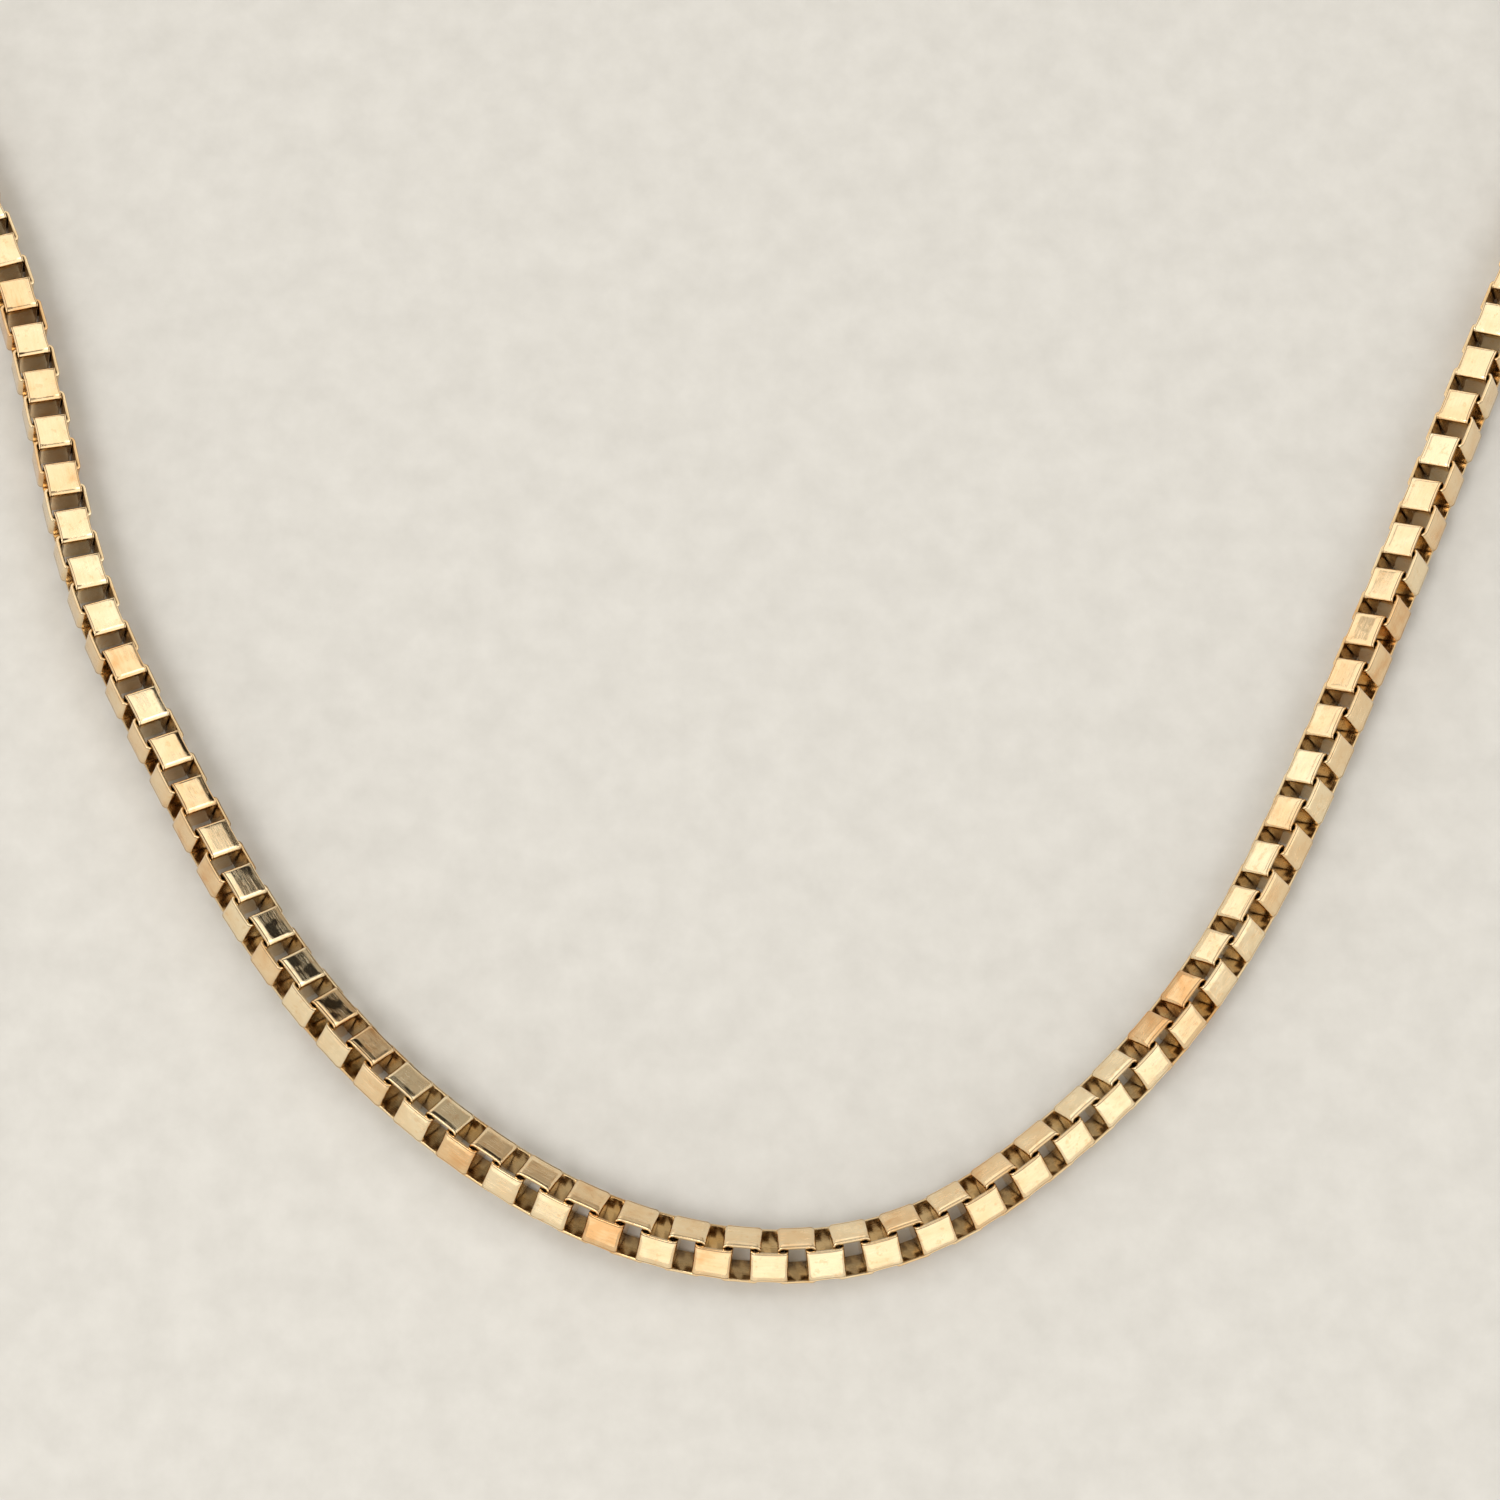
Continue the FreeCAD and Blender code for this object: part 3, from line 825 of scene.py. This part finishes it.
def lever_mesh():
    plate = rounded_plate(lever_outline(), LEVER_HALF_THICKNESS, LEVER_ROUNDING)
    bore = drill(RIVET_HOLE_RADIUS, -TOOL_REACH)
    return cut_by(plate, bore, drill(RECESS_RADIUS, RECESS_FLOOR))


def rivet_mesh():
    """The pin, with slightly domed ends flush with the cheeks."""
    half = []
    for step in range(RIVET_DOME_STEPS + 1):
        angle = math.radians(90 - 90 * step / RIVET_DOME_STEPS)
        height = RIVET_SHOULDER + RIVET_DOME * math.sin(angle)
        half.append((RIVET_RADIUS * math.cos(angle), height))
    return lathe(half + [(radius, -height) for radius, height in reversed(half)])


def spring_mesh():
    """The spring's coil round the rivet."""
    curve = bpy.data.curves.new("coil", "CURVE")
    curve.dimensions = "3D"
    curve.bevel_depth = COIL_WIRE_RADIUS
    curve.bevel_resolution = BEVEL_STEPS
    curve.use_fill_caps = True
    steps = int(COIL_TURNS * COIL_STEPS)
    spline = curve.splines.new("POLY")
    spline.points.add(steps)
    for step, point in enumerate(spline.points):
        turn = 2 * math.pi * step / COIL_STEPS
        x = PIVOT[0] + COIL_RADIUS * math.cos(turn)
        y = PIVOT[1] + COIL_RADIUS * math.sin(turn)
        point.co = (x, y, COIL_LOWEST + COIL_PITCH * step / COIL_STEPS, 1.0)
    holder = bpy.data.objects.new("coil", curve)
    mesh = bpy.data.meshes.new_from_object(holder)
    bpy.data.objects.remove(holder)
    return welded(mesh)


def make_clasp(gold, steel):
    """The clasp's four pieces."""
    place = clasp_matrix()
    pieces = [
        ("clasp_hook", hook_mesh(), gold, "clasp", "clasp", "clasp_body"),
        ("clasp_gate", lever_mesh(), gold, "lever", "clasp", "clasp_lever"),
        ("clasp_rivet", rivet_mesh(), gold, "clasp", "clasp", "lever_rivet"),
        ("clasp_spring", spring_mesh(), steel, "clasp", "spring_steel", "lever_spring"),
    ]
    for name, mesh, material, body, slot_name, node in pieces:
        mesh.transform(place)
        finish_piece(add_object(name, mesh), material, body, slot_name, node)


# ---------------------------------------------------------------- stage, light and camera

FLOOR_HALF_SIDE = 3.0
CAMERA_AIM = Vector((-0.00045, -0.0573, 0.0))
CAMERA_ELEVATION = math.radians(72)
CAMERA_DISTANCE = 0.281
CAMERA_LENS = 95
SENSOR_WIDTH = 36


def make_floor():
    mesh = bpy.data.meshes.new("table")
    side = FLOOR_HALF_SIDE
    corners = [(-side, -side, 0), (side, -side, 0), (side, side, 0), (-side, side, 0)]
    mesh.from_pydata(corners, [], [(0, 1, 2, 3)])
    mesh.materials.append(floor_material())
    add_object("table", mesh)


# The studio's surroundings by direction: x to the right, y behind the necklace, z up.
OVERHEAD = (1.30, 1.25, 1.16)
LOW_WALL = (0.42, 0.38, 0.32)
DARK_WALL = (0.026, 0.024, 0.021)
SEEN_WALL = (0.72, 0.71, 0.69)
BACK_WALL_FROM = 0.15
BACK_WALL_SHARPNESS = 5.0

# The dark band on the back wall: its height and half height, and how much each grows to the right.
BAND_HEIGHT = 0.41
BAND_HEIGHT_SLOPE = 0.06
BAND_HALF = 0.11
BAND_HALF_SLOPE = 0.11
BAND_HALF_LEAST = 0.04
BAND_SHARPNESS = 16.0

# The dim wall below the band, which fades out to the left.
DIM_SHARPNESS = 5.0
DIM_SLOPE = 2.0
DIM_IN_MIDDLE = 0.35

# The photographer and the camera make a dark patch of the ceiling. Its reach is in cosines.
PHOTOGRAPHER = (0.085, 0.075, 0.06)
PHOTOGRAPHER_SIDE = (0.0, -math.cos(CAMERA_ELEVATION), math.sin(CAMERA_ELEVATION))
PATCH_EDGE = 0.86
PATCH_BLEND = 0.06


def studio_colour(tree, direction):
    """The studio by direction: ceiling, dim low wall, dark band and the photographer's patch."""
    x, y, z = add_node(tree, "ShaderNodeSeparateXYZ", inputs={"Vector": direction}).outputs
    past_start = math_node(tree, "SUBTRACT", y, BACK_WALL_FROM)
    behind = math_node(tree, "MULTIPLY", past_start, BACK_WALL_SHARPNESS, clamp=True)
    middle = weighted(tree, {"x": x}, {"x": BAND_HEIGHT_SLOPE}, BAND_HEIGHT)
    half = weighted(tree, {"x": x}, {"x": BAND_HALF_SLOPE}, BAND_HALF)
    half = math_node(tree, "MAXIMUM", half, BAND_HALF_LEAST)
    above = math_node(tree, "SUBTRACT", z, middle)
    to_rim = math_node(tree, "SUBTRACT", half, math_node(tree, "ABSOLUTE", above, 0.0))
    inside = math_node(tree, "MULTIPLY", to_rim, BAND_SHARPNESS, clamp=True)
    dark = math_node(tree, "MULTIPLY", inside, behind)
    under = math_node(tree, "MULTIPLY", above, -DIM_SHARPNESS, clamp=True)
    rightward = weighted(tree, {"x": x}, {"x": DIM_SLOPE}, DIM_IN_MIDDLE, clamp=True)
    dim = math_node(tree, "MULTIPLY", math_node(tree, "MULTIPLY", under, rightward), behind)
    facing = add_node(tree, "ShaderNodeVectorMath", {"operation": "DOT_PRODUCT"}, {
        0: direction, 1: PHOTOGRAPHER_SIDE,
    }).outputs["Value"]
    past_edge = math_node(tree, "SUBTRACT", facing, PATCH_EDGE)
    patch = math_node(tree, "DIVIDE", past_edge, PATCH_BLEND, clamp=True)
    colour = tinted(tree, dim, (*OVERHEAD, 1.0), LOW_WALL)
    colour = tinted(tree, dark, colour, DARK_WALL)
    return tinted(tree, patch, colour, PHOTOGRAPHER)


def make_world():
    """The studio's surroundings. The camera itself sees a plain pale wall."""
    world = bpy.data.worlds.new("studio")
    world.use_nodes = True
    tree = world.node_tree
    tree.nodes.clear()
    direction = add_node(tree, "ShaderNodeTexCoord").outputs["Generated"]
    seen = add_node(tree, "ShaderNodeLightPath").outputs["Is Camera Ray"]
    colour = tinted(tree, seen, studio_colour(tree, direction), SEEN_WALL)
    background = add_node(tree, "ShaderNodeBackground", inputs={"Color": colour, "Strength": 1.0})
    output = tree.nodes.new("ShaderNodeOutputWorld")
    tree.links.new(background.outputs[0], output.inputs["Surface"])
    bpy.context.scene.world = world
    bpy.context.scene.view_settings.view_transform = "Standard"


# Each softbox's name, place, side, watts and colour.
SOFTBOXES = [
    ("key", (-0.35, -0.45, 0.75), 0.45, 4.0, (1.0, 0.97, 0.93)),
    ("fill", (0.55, 0.1, 0.6), 0.5, 1.0, (0.95, 0.97, 1.0)),
]


def make_softbox(name, place, size, power, colour):
    """A square softbox that looks at the necklace's front."""
    light = bpy.data.lights.new(name, "AREA")
    light.size = size
    light.energy = power
    light.color = colour
    lamp = add_object(name, light)
    lamp.location = place
    lamp.rotation_euler = (CAMERA_AIM - Vector(place)).to_track_quat("-Z", "Y").to_euler()


def make_camera():
    data = bpy.data.cameras.new("camera")
    data.lens = CAMERA_LENS
    data.sensor_width = SENSOR_WIDTH
    data.clip_start = 0.01
    back = Vector((0, -math.cos(CAMERA_ELEVATION), math.sin(CAMERA_ELEVATION)))
    camera = add_object("camera", data)
    camera.location = CAMERA_AIM + back * CAMERA_DISTANCE
    camera.rotation_euler = (math.pi / 2 - CAMERA_ELEVATION, 0, 0)
    bpy.context.scene.camera = camera


# ---------------------------------------------------------------- the scene

gold_links = gold_material("rose_gold_links", strip_coordinates, marked=True)
gold_fittings = gold_material("rose_gold_fittings", frame_coordinates, marked=False)
make_chain(gold_links)
make_rings(gold_fittings)
make_clasp(gold_fittings, steel_material())
make_floor()
make_world()
for softbox in SOFTBOXES:
    make_softbox(*softbox)
make_camera()

bpy.context.view_layer.update()
